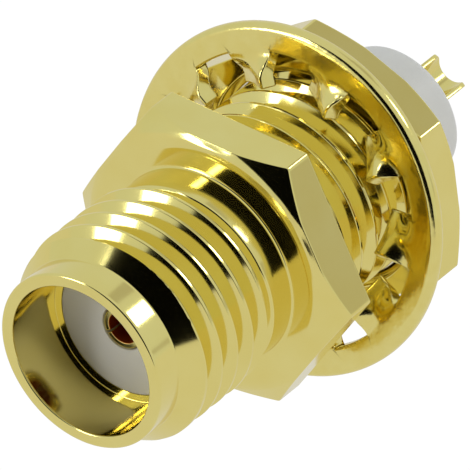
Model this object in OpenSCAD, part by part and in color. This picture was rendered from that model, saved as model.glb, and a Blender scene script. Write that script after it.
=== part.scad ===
// SMA jack for a panel: a turned gold-plated body with a hexagonal flange, a PTFE
// insulator, a centre contact with a solder cup, an internal-tooth lock washer and
// a hexagonal nut.
//
// Frame: the connector's axis is Y. The mouth faces -Y and the solder cup faces +Y.
// The origin is on the axis, on the flange's rear face, which seats on the panel.
// Each piece is drawn standing on its axis and then laid along Y by along_axis().
// The two threads are drawn as rings of the true pitch and depth, with no helix.

/* [Thread] */
// Outside diameter of both threads
thread_d = 6.35; // [6.25:0.05:6.5]
// Distance from one thread crest to the next
thread_pitch = 0.7056; // [0.65:0.0008:0.75]
// Number of crests on the mating thread
front_crests = 5; // [3:1:5]

/* [Body, mating end] */
// Distance from the mouth to the flange's front face
front_len = 5.8; // [5.7:0.02:6.6]
// Outside diameter of the plain nose
nose_d = 5.36; // [5.2:0.02:5.48]
// Length of the plain nose
nose_len = 0.9; // [0.6:0.05:1]
// Diameter of the mouth
mouth_d = 4.6; // [4.5:0.02:4.7]
// Depth of the mouth, down to the insulator's face
mouth_depth = 1.92; // [1.8:0.02:2.2]
// Rounding of the mouth's outer and inner edges
mouth_edge = 0.08; // [0.04:0.01:0.14]
// Diameter of the plain neck between the thread and the flange
neck_d = 5.9; // [5.7:0.02:6.1]
// Radius of the fillet where the neck meets the flange
neck_fillet = 0.2; // [0.1:0.02:0.34]

/* [Body, flange and panel end] */
// Width of the flange across its flats
flange_af = 7.94; // [7.6:0.02:8.4]
// Thickness of the flange
flange_t = 1.3; // [1:0.02:1.6]
// Slope of the bevel on the corners of the flange and the nut, in degrees
hex_bevel_angle = 34; // [20:1:36]
// Length of the body behind the flange
rear_len = 5.5; // [5.2:0.05:7]
// Diameter of the relief next to the panel seat
relief_d = 5.5; // [5.3:0.02:5.8]
// Length of the relief
relief_len = 0.3; // [0.2:0.02:0.5]
// Bevel on the rear end of the thread
rear_bevel = 0.35; // [0.2:0.05:0.45]

/* [Insulator] */
// Diameter of the insulator
insulator_d = 4.12; // [4:0.02:4.3]
// Length of the insulator that stands out behind the body
insulator_tail = 2.1; // [1:0.05:3]
// Height of the ring that locks the insulator in the body
lock_ring_h = 0.14; // [0.08:0.02:0.2]
// Length of that ring
lock_ring_len = 0.9; // [0.5:0.05:1.2]

/* [Contact] */
// Diameter of the contact
contact_d = 1.24; // [1.18:0.02:1.3]
// Diameter of the hole for the mating pin
socket_d = 0.92; // [0.9:0.01:0.96]
// Depth of that hole
socket_depth = 2.8; // [2.4:0.05:3.2]
// Width of the two spring slots in the socket
slot_w = 0.14; // [0.1:0.01:0.2]
// Length of the spring slots
slot_len = 2.1; // [1.6:0.05:2.3]
// Height of the barb that holds the contact in the insulator
barb_h = 0.16; // [0.1:0.02:0.24]
// Length of the barb
barb_len = 0.8; // [0.5:0.05:1.2]
// Length of the contact behind the insulator
tail_len = 2.7; // [2:0.05:3.5]
// Diameter inside the solder cup
cup_d = 0.96; // [0.9:0.01:1]
// Length of the solder cup that is cut open
cup_len = 1.85; // [1.2:0.05:1.95]
// Direction in which the solder cup is open, in degrees from +X towards +Z
cup_facing = 60; // [0:5:355]

/* [Lock washer] */
// Outside diameter of the washer
washer_od = 10.3; // [9.8:0.05:11]
// Width of the washer's plain rim
washer_rim = 0.8; // [0.6:0.02:0.9]
// Thickness of the washer
washer_t = 0.48; // [0.4:0.02:0.55]
// Number of teeth
tooth_count = 10; // [8:1:11]
// Width of a tooth
tooth_w = 1.36; // [1.1:0.02:1.45]
// Twist of a tooth at its tip, in degrees
tooth_twist = 35; // [20:1:38]
// Direction of the first tooth, in degrees from +X towards +Z
tooth_phase = 6; // [-18:1:18]
// Lean of the loose washer against the nut, in degrees
washer_lean = 10; // [0:0.5:11]

/* [Nut] */
// Width of the nut across its flats
nut_af = 7.94; // [7.6:0.02:8.4]
// Thickness of the nut
nut_t = 1.34; // [1.2:0.02:1.6]
// Distance from the panel seat to the nut's front face
nut_seat = 3.62; // [3.5:0.02:3.9]
// Direction of one corner of the nut, in degrees from +X towards +Z
nut_turn = 40; // [0:1:59]

/* [Clearances] */
// Gap between the insulator and the body's bore, on the radius
insulator_clear = 0.01; // [0:0.005:0.03]
// Gap around the springy front of the contact, on the radius
socket_clear = 0.06; // [0.03:0.01:0.1]
// Gap between the nut and the thread's crests, on the radius
nut_clear = 0.03; // [0.01:0.01:0.08]
// Gap between the washer's teeth and the thread's crests
washer_clear = 0.06; // [0.03:0.01:0.12]
// Gap between the washer's nearest tooth and the nut
nut_gap = 0.06; // [0.03:0.01:0.1]

/* [Hidden] */
$fn = 96;
gold = "#CDBB55";
ptfe = "#DDDDE0";
// how far a cut runs past a face, and how far joined solids run into each other
over = 0.1;

// thread form: 60 degree flanks, a crest and a root that are flat
thread_r = thread_d / 2;
crest_w = thread_pitch / 8;
thread_depth = 0.6134 * thread_pitch;
flank_w = thread_depth * tan(30);
root_r = thread_r - thread_depth;

// places along the axis
seat = 0;
flange_front = seat - flange_t;
mouth = flange_front - front_len;
insulator_front = mouth + mouth_depth;
rear_end = seat + rear_len;
insulator_rear = rear_end + insulator_tail;
tail_end = insulator_rear + tail_len;
front_thread = mouth + nose_len + thread_r - nose_d / 2;
rear_thread = seat + relief_len + thread_r - relief_d / 2;
lock_ring_at = seat + 0.4;
barb_at = lock_ring_at + lock_ring_len + 0.6;

// the hexagons: a corner's distance from the axis, and the bevel's circle on the face
flange_corner = flange_af / 2 / cos(30);
nut_corner = nut_af / 2 / cos(30);
bevel_out = 0.02;

// the washer: how far a twisted tooth reaches to each side, how close its tip may
// come to the thread when the washer leans, and where the washer's middle then is
tooth_reach = (tooth_w * sin(tooth_twist) + washer_t * cos(tooth_twist)) / 2;
tip_r = thread_r / cos(washer_lean) + tooth_reach * tan(washer_lean) + washer_clear;
washer_r = washer_od / 2;
gap_r = washer_r - washer_rim;
washer_at = nut_seat - tip_r * tan(washer_lean) - tooth_reach / cos(washer_lean) - nut_gap;
washer_round = washer_t * 0.3;

// lays a piece that was drawn along +Z along +Y
module along_axis() {
    rotate([-90, 0, 0]) children();
}

// turns a piece that was drawn along +Z to an angle counted from +X towards +Z
module facing(angle) {
    rotate([0, 0, -angle]) children();
}

// half outline of a thread: count crests from place at, each with its groove behind it
function thread_line(at, count) = [
    for (i = [0 : count - 1], p = [[thread_r, 0], [thread_r, crest_w],
        [root_r, crest_w + flank_w], [root_r, thread_pitch - flank_w]])
        [p[0], at + i * thread_pitch + p[1]]
];

// hexagonal plate from low to high, with bevelled corners at the ends that are named
module hex_plate(af, corner, low, high, bevel_low, bevel_high) {
    face_r = af / 2 + bevel_out;
    drop = (corner - face_r + over) * tan(hex_bevel_angle);
    intersection() {
        translate([0, 0, low]) cylinder(r = corner, h = high - low, $fn = 6);
        rotate_extrude() polygon([
            [0, low],
            [bevel_low ? face_r : corner + over, low],
            [corner + over, low + (bevel_low ? drop : 0)],
            [corner + over, high - (bevel_high ? drop : 0)],
            [bevel_high ? face_r : corner + over, high],
            [0, high],
        ]);
    }
}

// the turned outside of the body, without the flange
module body_outside() {
    rear_crests = floor((rear_end - rear_bevel - rear_thread) / thread_pitch);
    neck_start = front_thread + front_crests * thread_pitch
        - flank_w + (neck_d / 2 - root_r) * tan(30);
    rotate_extrude() polygon(concat(
        [[0, mouth], [nose_d / 2 - mouth_edge, mouth],
         [nose_d / 2, mouth + mouth_edge],
         [nose_d / 2, mouth + nose_len]],
        thread_line(front_thread, front_crests),
        [[neck_d / 2, neck_start], [neck_d / 2, flange_front + over],
         [relief_d / 2, flange_front + over],
         [relief_d / 2, seat + relief_len]],
        thread_line(rear_thread, rear_crests),
        [[thread_r, rear_thread + rear_crests * thread_pitch],
         [thread_r, rear_end - rear_bevel],
         [thread_r - rear_bevel, rear_end], [0, rear_end]]));
}

// the fillet between the neck and the flange's face
module neck_root() {
    rotate_extrude() difference() {
        translate([neck_d / 2 - over, flange_front - neck_fillet])
            square([neck_fillet + over, neck_fillet + over]);
        translate([neck_d / 2 + neck_fillet, flange_front - neck_fillet])
            circle(r = neck_fillet);
    }
}

// everything that is bored out of the body
module body_bore() {
    bore_r = insulator_d / 2 + insulator_clear;
    mouth_r = mouth_d / 2;
    rotate_extrude() polygon([
        [0, mouth - over],
        [mouth_r + mouth_edge + over, mouth - over],
        [mouth_r, mouth + mouth_edge],
        [mouth_r, insulator_front],
        [bore_r, insulator_front],
        [bore_r, lock_ring_at],
        [bore_r + lock_ring_h, lock_ring_at],
        [bore_r + lock_ring_h, lock_ring_at + lock_ring_len],
        [bore_r, lock_ring_at + lock_ring_len],
        [bore_r, rear_end + over],
        [0, rear_end + over],
    ]);
}

module body() {
    color(gold) along_axis() difference() {
        union() {
            body_outside();
            neck_root();
            hex_plate(flange_af, flange_corner, flange_front, seat, true, false);
        }
        body_bore();
    }
}

// the insulator with its locking ring, bored for the contact and its barb
module insulator() {
    r = insulator_d / 2;
    hole_r = contact_d / 2;
    color(ptfe) along_axis() rotate_extrude() difference() {
        union() {
            translate([0, insulator_front])
                square([r, insulator_rear - insulator_front]);
            translate([0, lock_ring_at]) square([r + lock_ring_h, lock_ring_len]);
        }
        translate([0, insulator_front - over])
            square([hole_r + socket_clear, socket_depth + over]);
        translate([0, insulator_front])
            square([hole_r, insulator_rear - insulator_front + over]);
        translate([0, barb_at]) square([hole_r + barb_h, barb_len]);
    }
}

// the contact: a slotted socket at the mouth, a barb, and a solder cup at the rear
module contact() {
    r = contact_d / 2;
    cup_start = tail_end - cup_len;
    color(gold) along_axis() difference() {
        rotate_extrude() union() {
            translate([0, insulator_front]) square([r, tail_end - insulator_front]);
            translate([0, barb_at]) square([r + barb_h, barb_len]);
        }
        translate([0, 0, insulator_front - over])
            cylinder(d = socket_d, h = socket_depth + over);
        facing(cup_facing - 25)
            translate([-contact_d, -slot_w / 2, insulator_front - over])
                cube([2 * contact_d, slot_w, slot_len + over]);
        translate([0, 0, cup_start - cup_d / 4])
            cylinder(d = cup_d, h = cup_len + cup_d / 4 + over);
        facing(cup_facing) translate([0, -contact_d, cup_start])
            cube([contact_d, 2 * contact_d, cup_len + over]);
    }
}

// one washer tooth, pointing along +X and twisted more and more towards its tip, so
// that its edge on the side of the smaller angle leans to the front
module washer_tooth() {
    root = washer_rim / 4;
    translate([gap_r + root, 0, 0]) rotate([0, -90, 0])
        linear_extrude(height = gap_r + root - tip_r, twist = -tooth_twist, slices = 6, $fn = 12)
            square([washer_t, tooth_w], center = true);
}

// the washer lies loose on the thread: its top leans back against the nut
module lock_washer() {
    flat = washer_r - washer_round;
    color(gold) translate([0, washer_at, 0]) rotate([-washer_lean, 0, 0])
        along_axis() {
            rotate_extrude() {
                translate([gap_r, -washer_t / 2]) square([flat - gap_r, washer_t]);
                translate([gap_r, washer_round - washer_t / 2])
                    square([washer_rim, washer_t - 2 * washer_round]);
                for (side = [-1, 1])
                    translate([flat, side * (washer_t / 2 - washer_round)])
                        circle(r = washer_round);
            }
            for (i = [0 : tooth_count - 1])
                facing(tooth_phase + i * 360 / tooth_count) washer_tooth();
        }
}

// the nut: flat towards the washer, bevelled corners behind, a plain bore in place of
// the thread, with a countersink at each end
module hex_nut() {
    bore_r = thread_r + nut_clear;
    sink = thread_depth / 2;
    color(gold) translate([0, nut_seat, 0]) along_axis() facing(nut_turn) difference() {
        hex_plate(nut_af, nut_corner, 0, nut_t, false, true);
        rotate_extrude() polygon([
            [0, -over],
            [bore_r + sink + over, -over],
            [bore_r, sink],
            [bore_r, nut_t - sink],
            [bore_r + sink + over, nut_t + over],
            [0, nut_t + over],
        ]);
    }
}

body();
insulator();
contact();
lock_washer();
hex_nut();
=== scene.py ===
"""Looks of an SMA jack for a panel: gold-plated turned body, PTFE insulator, centre
contact, leaning lock washer and nut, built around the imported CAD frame.

Lengths in this file are in millimetres until a mesh is made, which turns them to metres.
A place along the connector's axis is called s (mouth to solder cup, +Y), a distance
from the axis r, and an angle is counted about the axis from +X towards +Z.
"""

import math

import bmesh
import bpy
import numpy as np
from bpy.props import FloatProperty, FloatVectorProperty, IntProperty, PointerProperty
from mathutils import Matrix, Vector


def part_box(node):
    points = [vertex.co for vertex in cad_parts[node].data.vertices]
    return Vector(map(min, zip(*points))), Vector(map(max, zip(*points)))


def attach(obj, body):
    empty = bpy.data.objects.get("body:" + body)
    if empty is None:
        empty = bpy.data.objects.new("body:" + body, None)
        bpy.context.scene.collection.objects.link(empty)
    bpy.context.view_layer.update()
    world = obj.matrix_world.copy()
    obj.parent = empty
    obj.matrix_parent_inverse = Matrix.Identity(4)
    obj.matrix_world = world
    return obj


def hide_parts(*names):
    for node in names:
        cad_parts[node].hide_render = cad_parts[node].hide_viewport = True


bl_info = {
    "name": "Panel coaxial jack",
    "version": (1, 0, 0),
    "blender": (4, 5, 0),
    "location": "3D View > Sidebar > Jack",
    "description": "Builds the looks of a gold-plated coaxial jack around its CAD frame",
    "category": "Object",
}

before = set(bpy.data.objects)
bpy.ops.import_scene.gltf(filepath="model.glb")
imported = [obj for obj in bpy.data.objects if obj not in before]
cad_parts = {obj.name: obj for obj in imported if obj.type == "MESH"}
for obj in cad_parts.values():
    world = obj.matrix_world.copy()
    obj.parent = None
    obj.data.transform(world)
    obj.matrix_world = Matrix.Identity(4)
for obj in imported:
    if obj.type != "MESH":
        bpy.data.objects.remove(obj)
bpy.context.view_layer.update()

MM = 0.001
TAU = 2 * math.pi
SIXTH = math.pi / 3

# what the sliders below don't change, in millimetres unless said
THREAD_DEPTH = 0.6134       # of the thread, as a share of its pitch
FILLED = 0.62               # lift that fills a groove, a little over its depth
HELIX_ZERO = math.radians(50)           # direction in which a crest lies at its stated s
NOSE_LENGTH = 0.9
FRONT_CRESTS_END = -2.86    # the mating thread's last crest ends here
NECK_START = -2.68          # where the cut down to the neck is complete
LAST_GROOVE = -2.41         # grooves past this one run out
NECK_JOIN = (-2.0, -1.9)    # where the thread's stations end and the flange's begin
FLANGE_FRONT = -1.3
CROWN = 0.12                # how far the flange's face stands proud beside the neck
CROWN_RADII = (3.62, 3.82)  # where the crown falls away
BODY_BORE = 2.07
RELIEF_RADIUS = 2.75
RELIEF_LENGTH = 0.3
REAR_FIRST_CREST = 0.725
REAR_BEVEL = 0.35
HEX_CORNER = 0.1            # radius of a hexagon's corners
HEX_BEVEL = math.radians(34)
NUT_TURN = math.radians(40)             # direction of one corner of the nut
TEETH = 10


def box_mm(node):
    """Lowest and highest corner of a CAD node, in millimetres."""
    low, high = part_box(node)
    return np.array(low) / MM, np.array(high) / MM


BODY_LOW, BODY_HIGH = box_mm("body")
PTFE_LOW, PTFE_HIGH = box_mm("insulator")
CONTACT_LOW, CONTACT_HIGH = box_mm("contact")
NUT_LOW, NUT_HIGH = box_mm("hex_nut")


def linear(hex_colour):
    """sRGB hex to the linear colour that a shader takes."""
    parts = [int(hex_colour[i:i + 2], 16) / 255 for i in (1, 3, 5)]
    return tuple(c / 12.92 if c <= 0.04045 else ((c + 0.055) / 1.055) ** 2.4 for c in parts)


# ---------------------------------------------------------------- sizes and colours

class JackSizes(bpy.types.PropertyGroup):
    thread_radius: FloatProperty(name="Thread radius", default=3.175, min=3, max=3.3,
        description="From the axis to a thread's crest, in mm")
    pitch: FloatProperty(name="Pitch", default=0.7056, min=0.6, max=0.8,
        description="From one crest to the next, in mm (36 threads to the inch)")
    nose_radius: FloatProperty(name="Nose radius", default=2.68, min=2.5, max=2.8,
        description="Plain nose in front of the mating thread, in mm")
    mouth_radius: FloatProperty(name="Mouth radius", default=2.3, min=2.2, max=2.4,
        description="Bore that the plug's sleeve enters, in mm")
    neck_radius: FloatProperty(name="Neck radius", default=2.95, min=2.8, max=3.1,
        description="Plain neck between the mating thread and the flange, in mm")
    across_flats: FloatProperty(name="Across flats", default=7.94, min=7.5, max=8.5,
        description="Width of the flange and of the nut, in mm")
    edge: FloatProperty(name="Edge break", default=0.05, min=0.01, max=0.1,
        description="Rounding that plating and tumbling leave on a machined edge, in mm")
    columns: IntProperty(name="Columns", default=40, min=16, max=60,
        description="Columns of the mesh in a sixth of a turn")


class WasherSizes(bpy.types.PropertyGroup):
    outer: FloatProperty(name="Outer radius", default=5.15, min=4.8, max=5.5,
        description="Outside of the washer's rim, in mm")
    inner: FloatProperty(name="Rim's inner radius", default=4.35, min=4.1, max=4.6,
        description="Where the gaps between the teeth end, in mm")
    tip: FloatProperty(name="Tip radius", default=3.387, min=3.3, max=3.6,
        description="Where the teeth end, in mm")
    thick: FloatProperty(name="Thickness", default=0.48, min=0.3, max=0.6,
        description="Thickness of the strip that the washer is stamped from, in mm")
    tooth: FloatProperty(name="Tooth width", default=1.36, min=1, max=1.5,
        description="Width of a tooth, in mm")
    twist: FloatProperty(name="Twist", default=35, min=10, max=45,
        description="Twist of a tooth at its tip, in degrees")
    first: FloatProperty(name="First tooth", default=6, min=-18, max=18,
        description="Direction of one tooth, in degrees")
    lean: FloatProperty(name="Lean", default=10, min=0, max=12,
        description="How far the loose washer leans back against the nut, in degrees")
    place: FloatProperty(name="Place", default=2.367, min=1, max=3,
        description="Middle of the washer along the axis, in mm")


class JackColours(bpy.types.PropertyGroup):
    gold: FloatVectorProperty(name="Gold", subtype="COLOR", size=3, min=0, max=1,
        default=linear("#F0E393"), description="Gold plating on polished brass")
    gold_deep: FloatVectorProperty(name="Deep gold", subtype="COLOR", size=3, min=0, max=1,
        default=linear("#EAD87D"), description="The plating where it is a little thicker")
    ptfe: FloatVectorProperty(name="PTFE", subtype="COLOR", size=3, min=0, max=1,
        default=linear("#E3E1DB"), description="Turned white PTFE")


# ---------------------------------------------------------------- meshes

def hex_columns(per_side, turn=0.0):
    """Angles of a mesh's columns over one full turn, closer together at the hexagon's
    corners: in each sixth of a turn, u from -1 to 1 goes to 30 degrees times
    sign(u) (1 - (1 - |u|)^1.6), so that the corner is at u = 1 and its neighbours crowd it.
    The last column repeats the first, one turn on.
    """
    u = np.linspace(-1, 1, per_side + 1)[:-1]
    part = np.sign(u) * (1 - (1 - np.abs(u)) ** 1.6) * SIXTH / 2
    angles = (part[None, :] + (np.arange(6) * SIXTH + SIXTH / 2)[:, None]).ravel()
    return np.append(angles, angles[0] + TAU) + turn


def hexagon(angles, across_flats, round_radius, turn=0.0):
    """Distance from the axis to a hexagon with rounded corners at each angle.
    On a flat it is a / cos(angle from the flat's middle). Within the corner it is the far
    side of a circle of the round's radius, whose centre lies (a - radius) / cos 30 out.
    """
    a = across_flats / 2
    off = (angles - turn + SIXTH / 2) % SIXTH - SIXTH / 2      # from the nearest corner
    flat = a / np.cos(SIXTH / 2 - np.abs(off))
    centre = (a - round_radius) / math.cos(SIXTH / 2)
    inside = np.maximum(round_radius ** 2 - (centre * np.sin(off)) ** 2, 0)
    corner = centre * np.cos(off) + np.sqrt(inside)
    tangent = SIXTH / 2 - math.atan((a - round_radius) * math.tan(SIXTH / 2) / a)
    return np.where(np.abs(off) < tangent, corner, flat)


def rounded(corners, rounds, angles, steps=4):
    """Stations (rows) of a half outline through corners (r, s), for every angle (columns).
    Each inner corner P is swapped for the curve (1-t)^2 A + 2t(1-t) P + t^2 B between
    points A and B on its two sides, a round's length away or less where a side is short.
    A station just outside each end of the curve keeps the faces beside it flat.
    """
    pts = [np.stack([np.broadcast_to(np.asarray(c, float), angles.shape) for c in p])
           for p in corners]
    rows = [pts[0]]
    t = np.linspace(0, 1, steps + 1)[:, None, None]
    for before, here, after, size in zip(pts, pts[1:], pts[2:], rounds):
        if size == 0:
            rows.append(here)
            continue
        to_a, to_b = before - here, after - here
        len_a = np.linalg.norm(to_a, axis=0) + 1e-9
        len_b = np.linalg.norm(to_b, axis=0) + 1e-9
        reach = np.minimum(size, 0.4 * np.minimum(len_a, len_b))
        a, b = here + to_a / len_a * reach, here + to_b / len_b * reach
        curve = (1 - t) ** 2 * a + 2 * t * (1 - t) * here + t ** 2 * b
        rows.append(here + to_a / len_a * reach * 1.2)
        rows.extend(curve)
        rows.append(here + to_b / len_b * reach * 1.2)
    rows.append(pts[-1])
    return np.stack(rows, 1)                                   # (r or s, station, column)


def grid_mesh(points, close_rows, close_columns=False):
    """Vertices and quads of a grid of points (row, column, xyz)."""
    rows, cols = points.shape[:2]
    index = np.arange(rows * cols).reshape(rows, cols)
    if close_rows:
        index = np.vstack([index, index[:1]])
    if close_columns:
        index = np.hstack([index, index[:, :1]])
    quads = np.stack([index[:-1, :-1], index[1:, :-1], index[1:, 1:], index[:-1, 1:]], -1)
    return points.reshape(-1, 3), quads.reshape(-1, 4)


def turned(lines, angles, close_rows=True):
    """A surface of revolution whose outline may change with the angle: the point at
    station i and angle a is (r cos a, s, r sin a)."""
    r, s = lines
    points = np.stack([r * np.cos(angles), s + 0 * angles, r * np.sin(angles)], -1)
    return grid_mesh(points, close_rows)


def make_object(name, shells, material, crease=38):
    """One object from grids of points in mm. Doubles are merged, which closes seams and
    poles and drops faces of no area, and edges bent by more than crease stay sharp."""
    count, verts, quads = 0, [], []
    for points, faces in shells:
        verts.append(points)
        quads.append(faces + count)
        count += len(points)
    mesh = bpy.data.meshes.new(name)
    mesh.from_pydata((np.vstack(verts) * MM).tolist(), [], np.vstack(quads).tolist())
    work = bmesh.new()
    work.from_mesh(mesh)
    bmesh.ops.remove_doubles(work, verts=work.verts, dist=2e-7)
    bmesh.ops.dissolve_degenerate(work, edges=work.edges, dist=1e-7)
    work.to_mesh(mesh)
    work.free()
    mesh.shade_smooth()
    mesh.set_sharp_from_angle(angle=math.radians(crease))
    obj = bpy.data.objects.new(name, mesh)
    bpy.context.scene.collection.objects.link(obj)
    obj.data.materials.append(material)
    return obj


# ---------------------------------------------------------------- thread

def thread_form(crest, pitch, edge):
    """One pitch of a 60 degree thread, from the middle of a crest to the middle of the
    next: a crest of pitch / 8, a flank, a root and a flank, with rounded corners.
    Returns (place along the axis, distance from the axis)."""
    half_crest = pitch / 16
    depth = THREAD_DEPTH * pitch
    flank = depth * math.tan(SIXTH / 2)
    root = crest - depth
    corners = [(crest, 0), (crest, half_crest), (root, half_crest + flank),
               (root, pitch - half_crest - flank), (crest, pitch - half_crest), (crest, pitch)]
    at_crest, at_root = edge * 1.2, edge * 1.6
    line = rounded(corners, [at_crest, at_root, at_root, at_crest], np.zeros(1))
    r, s = line[:, :, 0]
    # six stations on each flank follow a cut by a cone better than none
    extra = np.linspace(half_crest + flank * 0.2, half_crest + flank * 0.8, 6)
    s_all = np.sort(np.concatenate([s, extra, pitch - extra]))
    return s_all[:-1], np.interp(s_all, s, r)[:-1]


def thread_zone(angles, crest, pitch, edge, first, envelope, stop, begins=False):
    """Stations of a right-hand thread between the ends of an envelope (s, r).

    A crest's middle lies at s = first + pitch (k - (a - 50 degrees) / turn), so s grows as
    the angle falls. The surface is the lesser of the thread's form and the envelope, and
    stations past an end are drawn in to it. Where a groove's middle passes stop, the
    tool draws out over a quarter of a turn. With begins, no groove is cut in front of
    crest 0: the groove behind it starts at the far side and reaches its depth in 30 degrees.
    """
    form_s, form_r = thread_form(crest, pitch, edge)
    env_s, env_r = np.array(envelope).T
    shift = pitch * (angles - HELIX_ZERO) / TAU
    turns = range(math.floor((env_s[0] - first) / pitch) - 1,
                  math.ceil((env_s[-1] - first) / pitch) + 2)
    base = np.concatenate([first + k * pitch + form_s for k in turns])
    form = np.tile(form_r, len(turns))
    middle = np.repeat([first + (k + 0.5) * pitch for k in turns], len(form_s))
    s = base[:, None] - shift[None, :]
    lift = np.clip((middle[:, None] - shift - stop) / (0.25 * pitch), 0, 1) * FILLED * pitch
    if begins:
        wrapped = (angles - HELIX_ZERO + math.pi) % TAU - math.pi
        number = np.round((middle[:, None] - shift - first) / pitch + wrapped / TAU - 0.5)
        fade = np.clip((wrapped / math.pi * 6 - 5), 0, 1)
        fill = np.where(number < 0, 1, np.where(number == 0, fade, 0))
        lift = np.maximum(lift, fill * FILLED * pitch)
    r = form[:, None] + lift
    clipped = np.clip(s, env_s[0], env_s[-1])
    phase = (clipped + shift - first) % pitch
    at_end = np.interp(phase, np.append(form_s, pitch), np.append(form_r, form_r[0])) + lift
    r = np.where(s == clipped, r, at_end)
    return np.stack([np.minimum(r, np.interp(clipped, env_s, env_r)), clipped])


# ---------------------------------------------------------------- pieces

def body_mesh(sizes):
    """Outline of the body, once round: insulator bore, mouth, nose, mating thread, neck,
    flange, panel thread, rear end and back through the bore. At the flange the outline
    follows the hexagon, so it changes with the angle."""
    a = hex_columns(sizes.columns)
    edge, crest, nose = sizes.edge, sizes.thread_radius, sizes.nose_radius
    mouth_s, rear_s = BODY_LOW[1], BODY_HIGH[1]
    root = crest - THREAD_DEPTH * sizes.pitch
    bore, face_s = BODY_BORE, PTFE_LOW[1]
    cone_s = mouth_s + NOSE_LENGTH
    cone_end = cone_s + crest - nose
    zone_front = cone_s + root - nose
    neck, seat = sizes.neck_radius, 0.0
    zone_rear, flange_start = NECK_JOIN
    # the face is crowned towards the neck, where polishing takes less of it
    crown, fillet = FLANGE_FRONT - CROWN, 0.1
    nose_part = rounded(
        [(bore, face_s + 1), (bore, face_s), (sizes.mouth_radius, face_s),
         (sizes.mouth_radius, mouth_s), (nose, mouth_s), (nose, cone_s),
         (root, zone_front)],
        [0, 0.02, 0.07, 0.09, edge], a)
    front_thread = thread_zone(
        a, crest, sizes.pitch, edge, cone_end - 0.03,
        [(zone_front, root), (cone_end, crest), (FRONT_CRESTS_END, crest),
         (NECK_START, neck), (zone_rear, neck)], LAST_GROOVE, True)
    outline = hexagon(a, sizes.across_flats, HEX_CORNER)
    face_r = np.minimum(sizes.across_flats / 2 + 0.02, outline - 0.05)
    bevel_s = FLANGE_FRONT + (outline - face_r) * math.tan(HEX_BEVEL)
    flange = rounded(
        [(neck, flange_start), (neck, crown), (CROWN_RADII[0], crown),
         (CROWN_RADII[1], crown + 0.045), (face_r, FLANGE_FRONT), (outline, bevel_s),
         (outline, seat), (RELIEF_RADIUS, seat), (RELIEF_RADIUS, RELIEF_LENGTH - 0.02)],
        [fillet, 0.15, 0.15, edge, edge * 0.8, edge, 0.05], a, steps=6)
    rear_thread = thread_zone(
        a, crest, sizes.pitch, edge, REAR_FIRST_CREST,
        [(RELIEF_LENGTH, RELIEF_RADIUS), (REAR_FIRST_CREST, crest),
         (rear_s - REAR_BEVEL, crest), (rear_s, crest - REAR_BEVEL)], math.inf)
    rear = rounded(
        [(2.62, rear_s), (bore, rear_s), (bore, rear_s - 1)], [0.04], a)
    return turned(np.concatenate([nose_part, front_thread, flange, rear_thread, rear], 1), a)


def nut_mesh(sizes):
    """Outline of the nut, once round: bore, front face, hexagon, bevelled rear, bore."""
    a = hex_columns(sizes.columns, NUT_TURN)
    low, high = NUT_LOW[1], NUT_HIGH[1]
    edge, bore = sizes.edge, sizes.thread_radius + 0.03
    sink = 0.22
    outline = hexagon(a, sizes.across_flats, HEX_CORNER, NUT_TURN)
    face_r = np.minimum(sizes.across_flats / 2 + 0.02, outline - 0.05)
    bevel_s = high - (outline - face_r) * math.tan(HEX_BEVEL)
    lines = rounded(
        [(bore, low + 0.6), (bore, low + sink), (bore + sink, low), (outline, low),
         (outline, bevel_s), (face_r, high), (bore + sink, high), (bore, high - sink),
         (bore, low + 0.8)],
        [0.03, edge, edge, edge * 0.8, edge, edge, 0.03], a)
    return turned(lines, a)


def insulator_mesh():
    """PTFE rod turned to size: front face, outside, rear face and the contact's bore."""
    a = np.linspace(0, TAU, 145)
    low, high = PTFE_LOW[1], PTFE_HIGH[1]
    lines = rounded(
        [(0.63, 0), (0.63, low + 2.8), (0.68, low + 2.8), (0.68, low), (2.06, low),
         (2.06, high), (0.63, high), (0.63, 0)],
        [0, 0, 0.03, 0.03, 0.06, 0.04], a)
    return turned(lines, a)


def sector(inner, outer, low, high, start, end, edge, count=60, tip=0.0):
    """Part of a tube between two angles, closed all round. The section (r, s) is a
    rounded rectangle carried through the angles. At each end it shrinks along a quarter
    circle to a point, so the cut faces have broken edges and close on themselves. With a
    tip, the far end falls away at both cut faces along a circle of that radius."""
    middle = (inner + outer) / 2
    to_point = 1e3
    inset = np.concatenate([[to_point], edge * (1 - np.sin(np.linspace(0, math.pi / 2, 5)))])
    lead = np.concatenate([[0], edge * (1 - np.cos(np.linspace(0, math.pi / 2, 5)))]) / middle
    turns = np.concatenate([start + lead, np.linspace(start, end, count)[2:-2],
                            (end - lead)[::-1]])
    inset = np.concatenate([inset, np.zeros(count - 4), inset[::-1]])
    if tip:
        nearest = middle * np.minimum(turns - start, end - turns)
        rise = np.clip(1 - nearest / tip, 0, 1)
        high = high - tip * (1 - np.sqrt(1 - rise ** 2))
    half_r, half_s, level = (outer - inner) / 2, (high - low) / 2, (low + high) / 2
    lines = rounded(
        [(inner, level), (inner, low), (outer, low), (outer, high), (inner, high),
         (inner, level)],
        [edge * 1.2] * 4, turns)
    r, s = lines
    r = middle + (r - middle) * np.maximum(1 - inset / half_r, 0)
    s = level + (s - level) * np.maximum(1 - inset / half_s, 0)
    points = np.stack([r * np.cos(turns), s, r * np.sin(turns)], -1)
    return grid_mesh(points, False)


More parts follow.
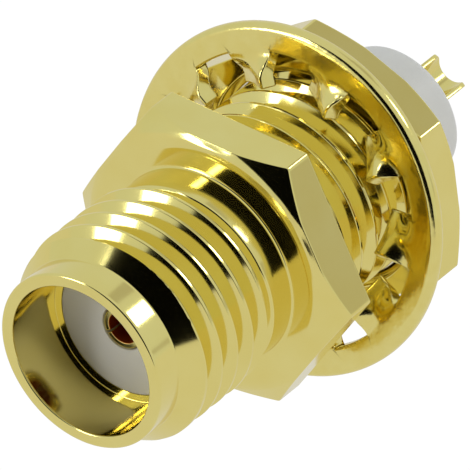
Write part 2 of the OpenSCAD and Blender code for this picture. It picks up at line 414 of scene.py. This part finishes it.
def contact_meshes():
    """Socket of two spring fingers, a rod through the insulator and the solder cup, whose
    last stretch is the half of its tube that faces away from the opening."""
    a = np.linspace(0, TAU, 97)
    low, high = CONTACT_LOW[1], CONTACT_HIGH[1]
    slot, fingers, hole, outer, cup = 0.07, 2.1, 0.46, 0.62, 0.48
    facing = math.radians(60)
    slot_at = facing - math.radians(25)
    half_slot = math.asin(slot / (hole + outer))
    shells = [sector(hole, outer, low, low + fingers, slot_at + half_slot + side,
                     slot_at - half_slot + side + math.pi, 0.025) for side in (0, math.pi)]
    cup_s, floor = high - 1.85, high - 1.85 - 0.24
    rod = rounded(
        [(0, low + 2.8), (hole, low + 2.8), (hole, low + fingers), (outer, low + fingers),
         (outer, cup_s), (cup, cup_s), (cup, floor), (0, floor)],
        [0.03, 0, 0, 0.02, 0.02, 0.1], a)
    shells.append(turned(rod, a, False))
    shells.append(sector(cup, outer, cup_s - 0.02, high, facing + math.pi / 2,
                         facing + 1.5 * math.pi, 0.035, tip=0.3))
    return shells


def tooth_line(washer):
    """Inner edge of the washer over one tooth, seen along its axis, as (along, across) the
    tooth: an arc of the rim, a fillet, the tooth's side, its rounded tip corner, the tip,
    and the same again mirrored."""
    tip, rim = washer.tip, washer.inner
    step = TAU / TEETH
    half = washer.tooth / 2
    gap = np.linspace(step / 2, math.asin(half / rim), 6)[:-1]
    side = np.linspace(rim, tip, 7)[1:-1]
    corner = math.asin(half / tip)
    corners = [(rim * math.cos(g), rim * math.sin(g)) for g in gap]
    corners += [(math.sqrt(r ** 2 - half ** 2), half) for r in (rim, *side)]
    corners += [(tip * math.cos(corner * q), tip * math.sin(corner * q))
                for q in (1, 0.75, 0.5, 0.25, 0)]
    rounds = [0] * (len(gap) - 1) + [0.2] + [0] * len(side) + [0.1] + [0] * 3
    line = rounded(corners, rounds, np.zeros(1), steps=5)[:, :, 0].T
    mirror = line[::-1][1:-1] * [1, -1]
    return np.vstack([line, mirror])


def twist_at(r, washer):
    """Twist of a tooth at a distance from the axis: none on the rim, 3t^2 - 2t^3 of it
    over the first 0.7 of the tooth's length, and all of it from there to the tip."""
    t = np.clip((washer.inner - r) / (washer.inner - washer.tip) / 0.7, 0, 1)
    return math.radians(washer.twist) * t * t * (3 - 2 * t)


def washer_mesh(washer):
    """The washer as one closed surface. Its plan is the space between the outer circle and
    the toothed inner edge, crossed by lines from one to the other. The section across a
    tooth at each distance r is a flat strip with rounded edges, turned as one by twist(r)
    about the tooth's middle line, and the turn fades out beside the tooth. The whole is
    then leaned about X and set on the axis."""
    step = TAU / TEETH
    line = tooth_line(washer)
    phi = math.radians(washer.first) + step * np.arange(TEETH)
    c, s = np.cos(phi)[:, None], np.sin(phi)[:, None]
    inner = np.stack([line[:, 0] * c + line[:, 1] * s,
                      line[:, 0] * s - line[:, 1] * c], -1).reshape(-1, 2)
    length = np.append(0, np.cumsum(np.linalg.norm(np.diff(line, axis=0), axis=1)))
    whole = length[-1] + np.linalg.norm(line[0] * [1, -1] - line[-1])
    out = step * (length / whole - 0.5)
    out_a = (phi[:, None] + out[None, :]).ravel()
    spread = np.roll(inner, -1, 0) - np.roll(inner, 1, 0)
    normal = np.stack([spread[:, 1], -spread[:, 0]], -1)
    normal /= np.linalg.norm(normal, axis=1)[:, None]
    outer_dir = np.stack([np.cos(out_a), np.sin(out_a)], -1)
    outward = np.sign((normal * (outer_dir * washer.outer - inner)).sum(1))
    normal *= 1 if outward.mean() > 0 else -1
    thick, round_out, round_in = washer.thick, 0.42 * washer.thick, 0.07
    quarter = np.linspace(0, math.pi / 2, 6)
    rows = []

    def row(plan, off):
        """A row of points at offset off from the faces' middle surface, from -1 to 1. A
        section of a tooth turns as one: (x, off) goes to (x cos - off sin, x sin + off cos).
        """
        r = np.linalg.norm(plan, axis=1)
        near = (np.arctan2(plan[:, 1], plan[:, 0]) - phi[0] + step / 2) % step - step / 2
        centre = np.arctan2(plan[:, 1], plan[:, 0]) - near
        alpha = twist_at(r, washer) * np.clip((step / 2 - np.abs(near)) / (0.12 * step), 0, 1)
        along, across, lift = r * np.cos(near), r * np.sin(near), off * thick / 2
        side = across * np.cos(alpha) - lift * np.sin(alpha)
        y = across * np.sin(alpha) + lift * np.cos(alpha)
        rows.append(np.stack([along * np.cos(centre) - side * np.sin(centre), y,
                              along * np.sin(centre) + side * np.cos(centre)], -1))

    half = thick / 2
    for q in quarter:                                          # outer edge to front face
        radius = washer.outer - round_out * (1 - math.cos(q))
        row(outer_dir * radius, -(half - round_out + round_out * math.sin(q)) / half)
    start = outer_dir * (washer.outer - round_out)
    finish = inner + normal * round_in
    for share in np.linspace(0, 1, 14)[1:-1]:
        row(start + (finish - start) * share, -1)
    for q in quarter[::-1]:                                    # front face to inner edge
        row(inner + normal * round_in * (1 - math.cos(q)),
            -(half - round_in + round_in * math.sin(q)) / half)
    for q in quarter:
        row(inner + normal * round_in * (1 - math.cos(q)),
            (half - round_in + round_in * math.sin(q)) / half)
    for share in np.linspace(1, 0, 14)[1:-1]:
        row(start + (finish - start) * share, 1)
    for q in quarter[::-1]:
        radius = washer.outer - round_out * (1 - math.cos(q))
        row(outer_dir * radius, (half - round_out + round_out * math.sin(q)) / half)
    points = np.stack(rows)
    lean = math.radians(washer.lean)
    y, z = points[..., 1].copy(), points[..., 2].copy()
    points[..., 1] = y * math.cos(lean) + z * math.sin(lean) + washer.place
    points[..., 2] = z * math.cos(lean) - y * math.sin(lean)
    return grid_mesh(points, True, True)


# ---------------------------------------------------------------- materials

def add_node(tree, kind, settings=None, links=None):
    """Adds a node, sets its properties and its sockets by name, and links its inputs."""
    node = tree.nodes.new(kind)
    for key, value in (settings or {}).items():
        if hasattr(node, key):
            setattr(node, key, value)
        else:
            node.inputs[key].default_value = value
    for key, source in (links or {}).items():
        tree.links.new(source, node.inputs[key])
    return node


def new_material(name):
    material = bpy.data.materials.new(name)
    material.use_nodes = True
    material.node_tree.nodes.clear()
    return material, material.node_tree


def two_tone(tree, factor, first, second):
    """A colour between two, by the factor."""
    mix = add_node(tree, "ShaderNodeMix", {"data_type": "RGBA"}, {"Factor": factor})
    mix.inputs[6].default_value = (*first, 1)
    mix.inputs[7].default_value = (*second, 1)
    return mix.outputs[2]


def bore_shade_mask(tree, place):
    """Mask of the painted shade in the contact's socket: 1 in its drilled bore and 0 elsewhere: 1
    within 0.465 mm of the axis and in front of s = -2.1 mm, and 0 from 0.49 mm out and behind
    -1.9 mm, so the solder cup stays gold."""
    axes = add_node(tree, "ShaderNodeSeparateXYZ", None, {"Vector": place})
    flat = add_node(tree, "ShaderNodeCombineXYZ", None,
                    {"X": axes.outputs["X"], "Z": axes.outputs["Z"]})
    away = add_node(tree, "ShaderNodeVectorMath", {"operation": "LENGTH"},
                    {"Vector": flat.outputs["Vector"]})
    inside = add_node(tree, "ShaderNodeMapRange",
                      {"From Min": 0.49 * MM, "From Max": 0.465 * MM},
                      {"Value": away.outputs["Value"]})
    front = add_node(tree, "ShaderNodeMapRange", {"From Min": -1.9 * MM, "From Max": -2.1 * MM},
                     {"Value": axes.outputs["Y"]})
    both = add_node(tree, "ShaderNodeMath", {"operation": "MULTIPLY"},
                    {0: inside.outputs["Result"], 1: front.outputs["Result"]})
    return both.outputs["Value"]


def gold_plate(name, roughness, mottle_mm, mottle, marks, bore_painted_shade=False):
    """Gold plated on polished brass. Plating levels the metal to a mirror that is softened a
    little by tumbling: mottle is how deep its slow ripple is, in mm, and marks how deep the fine
    rings are that the lathe left under it. The last argument paints shade into the drilled
    socket: a rough, dark red-brown there stands in for the shade deep in the bore."""
    colours = bpy.context.scene.jack_colours
    material, tree = new_material(name)
    coords = add_node(tree, "ShaderNodeTexCoord")
    place = coords.outputs["Object"]
    # 1 / (mottle_mm * MM) repeats a metre, which is one ripple every mottle_mm
    cloud = add_node(tree, "ShaderNodeTexNoise", {"Scale": 1 / (mottle_mm * MM), "Detail": 2.0},
                     {"Vector": place})
    tint = two_tone(tree, cloud.outputs["Fac"], colours.gold, colours.gold_deep)
    ripple = add_node(tree, "ShaderNodeBump", {"Strength": 1.0, "Distance": mottle * MM},
                      {"Height": cloud.outputs["Fac"]})
    # bands along the axis for the lathe's rings; a band repeats every 2 pi / (20 Scale)
    # metres, which puts the rings 0.38 mm apart
    rings = add_node(tree, "ShaderNodeTexWave",
                     {"bands_direction": "Y", "Scale": 1 / (20 * 0.06 * MM),
                      "Distortion": 0.4, "Detail": 1.0}, {"Vector": place})
    lathe = add_node(tree, "ShaderNodeBump", {"Strength": 1.0, "Distance": marks * MM},
                     {"Height": rings.outputs["Fac"], "Normal": ripple.outputs["Normal"]})
    fine = add_node(tree, "ShaderNodeTexNoise", {"Scale": 1 / (0.25 * MM), "Detail": 3.0},
                    {"Vector": place})
    rough = add_node(tree, "ShaderNodeMapRange",
                     {"To Min": roughness * 0.8, "To Max": roughness * 1.25},
                     {"Value": fine.outputs["Fac"]})
    dullness = rough.outputs["Result"]
    if bore_painted_shade:
        # painted shade: the socket's bore is coloured a rough dark red-brown in place of the
        # shade deep inside it
        share = bore_shade_mask(tree, place)
        brown = add_node(tree, "ShaderNodeMix", {"data_type": "RGBA"}, {"Factor": share, 6: tint})
        brown.inputs[7].default_value = (*linear("#B4551A"), 1)
        dull = add_node(tree, "ShaderNodeMix", {"data_type": "FLOAT"},
                        {"Factor": share, 2: dullness})
        dull.inputs[3].default_value = 0.6
        tint, dullness = brown.outputs[2], dull.outputs[0]
    shader = add_node(tree, "ShaderNodeBsdfPrincipled", {"Metallic": 1.0},
                      {"Base Color": tint, "Roughness": dullness,
                       "Normal": lathe.outputs["Normal"]})
    add_node(tree, "ShaderNodeOutputMaterial", None, {"Surface": shader.outputs["BSDF"]})
    return material


def turned_ptfe():
    """PTFE turned from rod: waxy, dense white that lets a little light in, satin with a very
    fine, faint grain from the tool."""
    colours = bpy.context.scene.jack_colours
    material, tree = new_material("turned_ptfe")
    coords = add_node(tree, "ShaderNodeTexCoord")
    place = coords.outputs["Object"]
    cloud = add_node(tree, "ShaderNodeTexNoise", {"Scale": 1 / (0.8 * MM), "Detail": 3.0},
                     {"Vector": place})
    tint = two_tone(tree, cloud.outputs["Fac"], colours.ptfe, [c * 0.95 for c in colours.ptfe])
    grain = add_node(tree, "ShaderNodeTexNoise", {"Scale": 1 / (0.05 * MM), "Detail": 1.0},
                     {"Vector": place})
    bump = add_node(tree, "ShaderNodeBump", {"Strength": 0.4, "Distance": 0.002 * MM},
                    {"Height": grain.outputs["Fac"]})
    shader = add_node(tree, "ShaderNodeBsdfPrincipled",
                      {"Roughness": 0.42, "IOR": 1.35, "Subsurface Weight": 0.25,
                       "Subsurface Radius": (1.0, 1.0, 1.0), "Subsurface Scale": 0.4 * MM},
                      {"Base Color": tint, "Normal": bump.outputs["Normal"]})
    add_node(tree, "ShaderNodeOutputMaterial", None, {"Surface": shader.outputs["BSDF"]})
    return material


def flat_light(name, seen, lit):
    """A surface that glows evenly: seen by the camera at one strength, and lighting the
    part and mirrored in it at another."""
    material, tree = new_material(name)
    path = add_node(tree, "ShaderNodeLightPath")
    strength = add_node(tree, "ShaderNodeMix", {"data_type": "FLOAT"},
                        {"Factor": path.outputs["Is Camera Ray"]})
    strength.inputs[2].default_value, strength.inputs[3].default_value = lit, seen
    glow = add_node(tree, "ShaderNodeEmission", {"Color": (1, 1, 1, 1)},
                    {"Strength": strength.outputs[0]})
    add_node(tree, "ShaderNodeOutputMaterial", None, {"Surface": glow.outputs["Emission"]})
    return material


# ---------------------------------------------------------------- operators

class JACK_OT_body(bpy.types.Operator):
    """Turned body: mouth, mating thread, neck, hexagonal flange and panel thread"""
    bl_idname = "jack.body"
    bl_label = "Body"

    def execute(self, context):
        metal = gold_plate("gold_plated_turned_brass", 0.10, 1.5, 0.004, 0.00005)
        piece = make_object("gold_body", [body_mesh(context.scene.jack_sizes)], metal)
        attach(piece, "jack")
        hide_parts("body")
        return {"FINISHED"}


class JACK_OT_insulator(bpy.types.Operator):
    """PTFE insulator"""
    bl_idname = "jack.insulator"
    bl_label = "Insulator"

    def execute(self, context):
        piece = make_object("ptfe_insulator", [insulator_mesh()], turned_ptfe())
        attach(piece, "jack")
        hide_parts("insulator")
        return {"FINISHED"}


class JACK_OT_contact(bpy.types.Operator):
    """Centre contact: slotted socket, rod and solder cup"""
    bl_idname = "jack.contact"
    bl_label = "Contact"

    def execute(self, context):
        # the last argument, True, paints a dark red-brown shade into the socket's bore
        metal = gold_plate("gold_plated_contact", 0.14, 0.8, 0.003, 0.00004, True)
        piece = make_object("centre_contact", contact_meshes(), metal)
        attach(piece, "jack")
        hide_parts("contact")
        return {"FINISHED"}


class JACK_OT_washer(bpy.types.Operator):
    """Internal-tooth lock washer, stamped, twisted and plated"""
    bl_idname = "jack.washer"
    bl_label = "Lock washer"

    def execute(self, context):
        metal = gold_plate("gold_plated_stamping", 0.14, 0.45, 0.010, 0.0)
        piece = make_object("toothed_washer", [washer_mesh(context.scene.washer_sizes)], metal)
        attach(piece, "washer")
        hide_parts("lock_washer")
        return {"FINISHED"}


class JACK_OT_nut(bpy.types.Operator):
    """Hexagonal nut"""
    bl_idname = "jack.nut"
    bl_label = "Nut"

    def execute(self, context):
        metal = gold_plate("gold_plated_milled_brass", 0.11, 1.5, 0.005, 0.00003)
        piece = make_object("bevelled_nut", [nut_mesh(context.scene.jack_sizes)], metal)
        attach(piece, "nut")
        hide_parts("hex_nut")
        return {"FINISHED"}


TENT = 0.72            # strength of the white tent, as the metal mirrors it
TENT_COLOUR = (0.95, 1.0, 1.05)     # daylight tubes are a little cool
VIEW_TURN = 2          # the camera and lamps are turned this far about Y, in degrees
LENS_SHARE = 12050 / 470            # focal length over the width of the camera's sensor


class JACK_OT_stage(bpy.types.Operator):
    """White light tent and table, a black card, two grey cards, four small lamps, camera"""
    bl_idname = "jack.stage"
    bl_label = "Stage"

    def execute(self, context):
        scene = context.scene
        scene.view_settings.view_transform = "Standard"
        world = bpy.data.worlds.new("tent")
        world.use_nodes = True
        sky = world.node_tree.nodes["Background"].inputs
        sky["Color"].default_value = (*TENT_COLOUR, 1)
        sky["Strength"].default_value = TENT
        scene.world = world

        # opal table, lit from below
        side, low = 3.0, (BODY_LOW[2] - 20) * MM
        mesh = bpy.data.meshes.new("table")
        mesh.from_pydata([(-side, -side, low), (side, -side, low), (side, side, low),
                          (-side, side, low)], [], [(0, 1, 2, 3)])
        table = bpy.data.objects.new("table", mesh)
        table.data.materials.append(flat_light("opal_table", 1.02, TENT))
        scene.collection.objects.link(table)

        # black card: part of a sphere of 0.42 m around the part, from -Y outwards
        polar = np.radians(np.linspace(3, 60, 12))[:, None]
        round_axis = np.radians(np.linspace(-20, 123, 28))[None, :]
        card_points = 420 * np.stack(
            [np.sin(polar) * np.cos(round_axis), -np.cos(polar) + 0 * round_axis,
             np.sin(polar) * np.sin(round_axis)], -1)
        black, tree = new_material("black_card")
        flock = add_node(tree, "ShaderNodeBsdfDiffuse", {"Color": (*linear("#060605"), 1)})
        add_node(tree, "ShaderNodeOutputMaterial", None, {"Surface": flock.outputs["BSDF"]})
        card = make_object("black_card", [grid_mesh(card_points, False)], black)
        card.visible_camera = False
        card.visible_shadow = False

        # grey cards close by, each mirrored in one flat only: place on the part, way, half
        # sizes and strength
        aim = Matrix.Rotation(math.radians(-VIEW_TURN), 3, "Y")
        for number, (spot, way, half, glow) in enumerate((
                ((1.5, 4.3, 3.7), (0.06, 0.65, 0.75), 9.0, 0.50),
                ((3.9, -0.6, 1.0), (0.75, 0.65, 0.08), 4.0, 0.52))):
            way = (aim @ Vector(way)).normalized()
            across = way.orthogonal().normalized()
            along = way.cross(across)
            middle = aim @ Vector(spot) + way * 40
            corners = [middle + across * half * x + along * half * y
                       for x, y in ((-1, -1), (1, -1), (1, 1), (-1, 1))]
            mesh = bpy.data.meshes.new("grey_card")
            mesh.from_pydata([c * MM for c in corners], [], [(0, 1, 2, 3)])
            grey = bpy.data.objects.new("grey_card_%d" % number, mesh)
            grey.data.materials.append(flat_light("grey_card", glow, glow))
            grey.visible_camera = False
            scene.collection.objects.link(grey)

        # small soft lamps: for the beads on the thread's flanks, the streak on the neck,
        # the left edges, and the hot light on the nose and along the corners
        for name, way, wide, high, power in (
                ("bead_lamp", (-0.54, -0.80, 0.24), 0.055, 0.085, 0.08),
                ("strip_lamp", (-0.44, -0.66, 0.61), 0.025, 0.02, 0.012),
                ("left_lamp", (-0.68, -0.70, -0.21), 0.05, 0.05, 0.04),
                ("rear_lamp", (0.48, 0.64, 0.60), 0.06, 0.06, 0.06)):
            toward = aim @ Vector(way).normalized()
            lamp = bpy.data.lights.new(name, "AREA")
            lamp.shape, lamp.size, lamp.size_y, lamp.energy = "ELLIPSE", wide, high, power
            source = bpy.data.objects.new(name, lamp)
            source.matrix_world = (Matrix.Translation(toward * 0.22)
                                   @ toward.to_track_quat("Z", "Y").to_matrix().to_4x4())
            scene.collection.objects.link(source)

        # a long lens a third of a metre away, so the view is almost parallel
        camera = bpy.data.cameras.new("camera")
        camera.sensor_width = 36
        camera.lens = camera.sensor_width * LENS_SHARE
        camera.clip_start = 0.01
        right = Vector((0.80587, 0.59209, 0))
        up = Vector((-0.34349, 0.46751, 0.81452))
        ahead = Vector((-0.48227, 0.65640, -0.58013))
        turn = Matrix((right, up, -ahead)).transposed().to_4x4()
        view = bpy.data.objects.new("camera", camera)
        view.matrix_world = (aim.to_4x4()
                             @ Matrix.Translation((0.15912, -0.21660, 0.19156)) @ turn)
        scene.collection.objects.link(view)
        scene.camera = view
        return {"FINISHED"}


class JACK_PT_panel(bpy.types.Panel):
    """Lists the sizes, the colours and one button for each piece"""
    bl_idname = "JACK_PT_panel"
    bl_label = "Coaxial jack"
    bl_space_type = "VIEW_3D"
    bl_region_type = "UI"
    bl_category = "Jack"

    def draw(self, context):
        for group in (context.scene.jack_sizes, context.scene.washer_sizes,
                      context.scene.jack_colours):
            column = self.layout.column(align=True)
            for name in group.__annotations__:
                column.prop(group, name)
        for operator in OPERATORS:
            self.layout.operator(operator.bl_idname)


OPERATORS = (JACK_OT_body, JACK_OT_insulator, JACK_OT_contact, JACK_OT_washer,
             JACK_OT_nut, JACK_OT_stage)
CLASSES = (JackSizes, WasherSizes, JackColours, *OPERATORS, JACK_PT_panel)


def register():
    for cls in CLASSES:
        bpy.utils.register_class(cls)
    bpy.types.Scene.jack_sizes = PointerProperty(type=JackSizes)
    bpy.types.Scene.washer_sizes = PointerProperty(type=WasherSizes)
    bpy.types.Scene.jack_colours = PointerProperty(type=JackColours)


def unregister():
    del bpy.types.Scene.jack_colours
    del bpy.types.Scene.washer_sizes
    del bpy.types.Scene.jack_sizes
    for cls in reversed(CLASSES):
        bpy.utils.unregister_class(cls)


def main():
    register()
    for operator in OPERATORS:
        group, name = operator.bl_idname.split(".")
        getattr(getattr(bpy.ops, group), name)()


if __name__ == "__main__":
    main()
